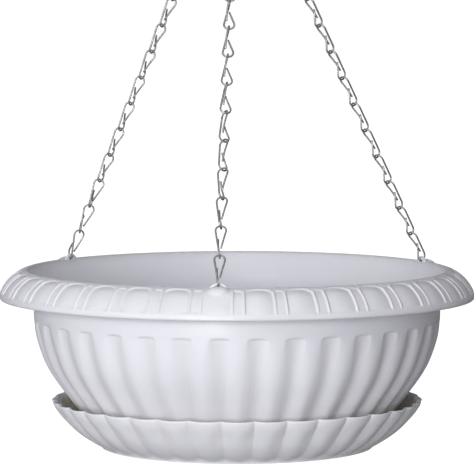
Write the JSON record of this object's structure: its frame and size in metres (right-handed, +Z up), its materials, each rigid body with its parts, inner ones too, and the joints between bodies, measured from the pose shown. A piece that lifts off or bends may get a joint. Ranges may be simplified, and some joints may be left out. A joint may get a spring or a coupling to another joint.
{
  "type": "hanging basket",
  "caption": "Round hanging planter bowl with a rolled patterned rim and a push-on drip saucer, hung from a wire hook on strands of jack chain.",
  "frame": {"origin": "hanging seat of the hook: the inside top of its bend, where it rests on a bracket", "axes": "+Z up, -Y towards the strand that stands at the front, +X to the right"},
  "size_m": [0.3, 0.3, 0.4561],
  "materials": {
    "bowl_plastic": "satin moulded polypropylene, off-white",
    "saucer_plastic": "satin moulded polypropylene, off-white",
    "chain_wire": "zinc-plated wire",
    "zinc_wire": "zinc-plated wire"
  },
  "bodies": {
    "hook": {"hook": "zinc_wire"},
    "ring": {"connector_ring": "zinc_wire"},
    "bowl": {"bowl": "bowl_plastic"},
    "saucer": {"saucer": "saucer_plastic"},
    "front_links_01_02": {"front_link_01": "chain_wire", "front_link_02": "chain_wire"},
    "front_links_03_04": {"front_link_03": "chain_wire", "front_link_04": "chain_wire"},
    "front_links_05_06": {"front_link_05": "chain_wire", "front_link_06": "chain_wire"},
    "front_links_07_08": {"front_link_07": "chain_wire", "front_link_08": "chain_wire"},
    "front_links_09_10": {"front_link_09": "chain_wire", "front_link_10": "chain_wire"},
    "front_links_11_12": {"front_link_11": "chain_wire", "front_link_12": "chain_wire"},
    "front_links_13_14": {"front_link_13": "chain_wire", "front_link_14": "chain_wire"},
    "front_links_15_16": {"front_link_15": "chain_wire", "front_link_16": "chain_wire"},
    "left_links_01_02": {"left_link_01": "chain_wire", "left_link_02": "chain_wire"},
    "left_links_03_04": {"left_link_03": "chain_wire", "left_link_04": "chain_wire"},
    "left_links_05_06": {"left_link_05": "chain_wire", "left_link_06": "chain_wire"},
    "left_links_07_08": {"left_link_07": "chain_wire", "left_link_08": "chain_wire"},
    "left_links_09_10": {"left_link_09": "chain_wire", "left_link_10": "chain_wire"},
    "left_links_11_12": {"left_link_11": "chain_wire", "left_link_12": "chain_wire"},
    "left_links_13_14": {"left_link_13": "chain_wire", "left_link_14": "chain_wire"},
    "left_links_15_16": {"left_link_15": "chain_wire", "left_link_16": "chain_wire"},
    "right_links_01_02": {"right_link_01": "chain_wire", "right_link_02": "chain_wire"},
    "right_links_03_04": {"right_link_03": "chain_wire", "right_link_04": "chain_wire"},
    "right_links_05_06": {"right_link_05": "chain_wire", "right_link_06": "chain_wire"},
    "right_links_07_08": {"right_link_07": "chain_wire", "right_link_08": "chain_wire"},
    "right_links_09_10": {"right_link_09": "chain_wire", "right_link_10": "chain_wire"},
    "right_links_11_12": {"right_link_11": "chain_wire", "right_link_12": "chain_wire"},
    "right_links_13_14": {"right_link_13": "chain_wire", "right_link_14": "chain_wire"},
    "right_links_15_16": {"right_link_15": "chain_wire", "right_link_16": "chain_wire"}
  },
  "joints": [
    {"name": "fore_aft_swing", "type": "hinge", "parent": "hook", "child": "ring", "pos_m": [0, 0, -0.054], "axis": [1, 0, 0], "range_deg": [-12, 12]},
    {"name": "side_swing", "type": "hinge", "parent": "ring", "child": "bowl", "pos_m": [0, 0, -0.0709], "axis": [0, 1, 0], "range_deg": [-12, 12]},
    {"name": "saucer_pull_off", "type": "slide", "parent": "bowl", "child": "saucer", "axis": [0, 0, -1], "range_m": [0, 0.03]},
    {"name": "front_strand_bow", "type": "hinge", "parent": "bowl", "child": "front_links_01_02", "pos_m": [0, -0.1325, -0.33805], "axis": [0, -0.9008, 0.4343], "range_deg": [-3.4, 3.4], "stiffness_Nm_per_rad": 0.13},
    {"name": "front_pivot_03", "type": "hinge", "parent": "front_links_01_02", "child": "front_links_03_04", "pos_m": [0, -0.11674, -0.30537], "axis": [0, -0.9008, 0.4343], "range_deg": [-0.98, 0.98]},
    {"name": "front_pivot_05", "type": "hinge", "parent": "front_links_03_04", "child": "front_links_05_06", "pos_m": [0, -0.10047, -0.27161], "axis": [0, -0.9008, 0.4343], "range_deg": [-0.98, 0.98]},
    {"name": "front_pivot_07", "type": "hinge", "parent": "front_links_05_06", "child": "front_links_07_08", "pos_m": [0, -0.08419, -0.23786], "axis": [0, -0.9008, 0.4343], "range_deg": [-0.98, 0.98]},
    {"name": "front_pivot_09", "type": "hinge", "parent": "front_links_07_08", "child": "front_links_09_10", "pos_m": [0, -0.06792, -0.20411], "axis": [0, -0.9008, 0.4343], "range_deg": [-0.98, 0.98]},
    {"name": "front_pivot_11", "type": "hinge", "parent": "front_links_09_10", "child": "front_links_11_12", "pos_m": [0, -0.05164, -0.17035], "axis": [0, -0.9008, 0.4343], "range_deg": [-0.98, 0.98]},
    {"name": "front_pivot_13", "type": "hinge", "parent": "front_links_11_12", "child": "front_links_13_14", "pos_m": [0, -0.03537, -0.1366], "axis": [0, -0.9008, 0.4343], "range_deg": [-0.98, 0.98]},
    {"name": "front_pivot_15", "type": "hinge", "parent": "front_links_13_14", "child": "front_links_15_16", "pos_m": [0, -0.01909, -0.10285], "axis": [0, -0.9008, 0.4343], "range_deg": [-0.98, 0.98]},
    {"name": "left_strand_bow", "type": "hinge", "parent": "bowl", "child": "left_links_01_02", "pos_m": [-0.11475, 0.06625, -0.33805], "axis": [-0.7765, 0.447, 0.4441], "range_deg": [-3.4, 3.4], "stiffness_Nm_per_rad": 0.13},
    {"name": "left_pivot_03", "type": "hinge", "parent": "left_links_01_02", "child": "left_links_03_04", "pos_m": [-0.10075, 0.05819, -0.30546], "axis": [-0.7765, 0.447, 0.4441], "range_deg": [-0.98, 0.98]},
    {"name": "left_pivot_05", "type": "hinge", "parent": "left_links_03_04", "child": "left_links_05_06", "pos_m": [-0.08628, 0.04986, -0.27177], "axis": [-0.7765, 0.447, 0.4441], "range_deg": [-0.98, 0.98]},
    {"name": "left_pivot_07", "type": "hinge", "parent": "left_links_05_06", "child": "left_links_07_08", "pos_m": [-0.07181, 0.04154, -0.23809], "axis": [-0.7765, 0.447, 0.4441], "range_deg": [-0.98, 0.98]},
    {"name": "left_pivot_09", "type": "hinge", "parent": "left_links_07_08", "child": "left_links_09_10", "pos_m": [-0.05735, 0.03321, -0.20441], "axis": [-0.7765, 0.447, 0.4441], "range_deg": [-0.98, 0.98]},
    {"name": "left_pivot_11", "type": "hinge", "parent": "left_links_09_10", "child": "left_links_11_12", "pos_m": [-0.04288, 0.02488, -0.17072], "axis": [-0.7765, 0.447, 0.4441], "range_deg": [-0.98, 0.98]},
    {"name": "left_pivot_13", "type": "hinge", "parent": "left_links_11_12", "child": "left_links_13_14", "pos_m": [-0.02841, 0.01655, -0.13704], "axis": [-0.7765, 0.447, 0.4441], "range_deg": [-0.98, 0.98]},
    {"name": "left_pivot_15", "type": "hinge", "parent": "left_links_13_14", "child": "left_links_15_16", "pos_m": [-0.01394, 0.00822, -0.10335], "axis": [-0.7765, 0.447, 0.4441], "range_deg": [-0.98, 0.98]},
    {"name": "right_strand_bow", "type": "hinge", "parent": "bowl", "child": "right_links_01_02", "pos_m": [0.11475, 0.06625, -0.33805], "axis": [0.7866, 0.4336, 0.4397], "range_deg": [-3.4, 3.4], "stiffness_Nm_per_rad": 0.13},
    {"name": "right_pivot_03", "type": "hinge", "parent": "right_links_01_02", "child": "right_links_03_04", "pos_m": [0.10075, 0.05853, -0.3054], "axis": [0.7866, 0.4336, 0.4397], "range_deg": [-0.98, 0.98]},
    {"name": "right_pivot_05", "type": "hinge", "parent": "right_links_03_04", "child": "right_links_05_06", "pos_m": [0.08628, 0.05056, -0.27166], "axis": [0.7866, 0.4336, 0.4397], "range_deg": [-0.98, 0.98]},
    {"name": "right_pivot_07", "type": "hinge", "parent": "right_links_05_06", "child": "right_links_07_08", "pos_m": [0.07181, 0.04258, -0.23792], "axis": [0.7866, 0.4336, 0.4397], "range_deg": [-0.98, 0.98]},
    {"name": "right_pivot_09", "type": "hinge", "parent": "right_links_07_08", "child": "right_links_09_10", "pos_m": [0.05735, 0.03461, -0.20417], "axis": [0.7866, 0.4336, 0.4397], "range_deg": [-0.98, 0.98]},
    {"name": "right_pivot_11", "type": "hinge", "parent": "right_links_09_10", "child": "right_links_11_12", "pos_m": [0.04288, 0.02663, -0.17043], "axis": [0.7866, 0.4336, 0.4397], "range_deg": [-0.98, 0.98]},
    {"name": "right_pivot_13", "type": "hinge", "parent": "right_links_11_12", "child": "right_links_13_14", "pos_m": [0.02841, 0.01866, -0.13669], "axis": [0.7866, 0.4336, 0.4397], "range_deg": [-0.98, 0.98]},
    {"name": "right_pivot_15", "type": "hinge", "parent": "right_links_13_14", "child": "right_links_15_16", "pos_m": [0.01394, 0.01069, -0.10295], "axis": [0.7866, 0.4336, 0.4397], "range_deg": [-0.98, 0.98]}
  ],
  "couplings": [
    {"joint": "front_pivot_03", "follows": "front_strand_bow", "ratio": -0.28571},
    {"joint": "front_pivot_05", "follows": "front_strand_bow", "ratio": -0.28571},
    {"joint": "front_pivot_07", "follows": "front_strand_bow", "ratio": -0.28571},
    {"joint": "front_pivot_09", "follows": "front_strand_bow", "ratio": -0.28571},
    {"joint": "front_pivot_11", "follows": "front_strand_bow", "ratio": -0.28571},
    {"joint": "front_pivot_13", "follows": "front_strand_bow", "ratio": -0.28571},
    {"joint": "front_pivot_15", "follows": "front_strand_bow", "ratio": -0.28571},
    {"joint": "left_pivot_03", "follows": "left_strand_bow", "ratio": -0.28571},
    {"joint": "left_pivot_05", "follows": "left_strand_bow", "ratio": -0.28571},
    {"joint": "left_pivot_07", "follows": "left_strand_bow", "ratio": -0.28571},
    {"joint": "left_pivot_09", "follows": "left_strand_bow", "ratio": -0.28571},
    {"joint": "left_pivot_11", "follows": "left_strand_bow", "ratio": -0.28571},
    {"joint": "left_pivot_13", "follows": "left_strand_bow", "ratio": -0.28571},
    {"joint": "left_pivot_15", "follows": "left_strand_bow", "ratio": -0.28571},
    {"joint": "right_pivot_03", "follows": "right_strand_bow", "ratio": -0.28571},
    {"joint": "right_pivot_05", "follows": "right_strand_bow", "ratio": -0.28571},
    {"joint": "right_pivot_07", "follows": "right_strand_bow", "ratio": -0.28571},
    {"joint": "right_pivot_09", "follows": "right_strand_bow", "ratio": -0.28571},
    {"joint": "right_pivot_11", "follows": "right_strand_bow", "ratio": -0.28571},
    {"joint": "right_pivot_13", "follows": "right_strand_bow", "ratio": -0.28571},
    {"joint": "right_pivot_15", "follows": "right_strand_bow", "ratio": -0.28571}
  ]
}
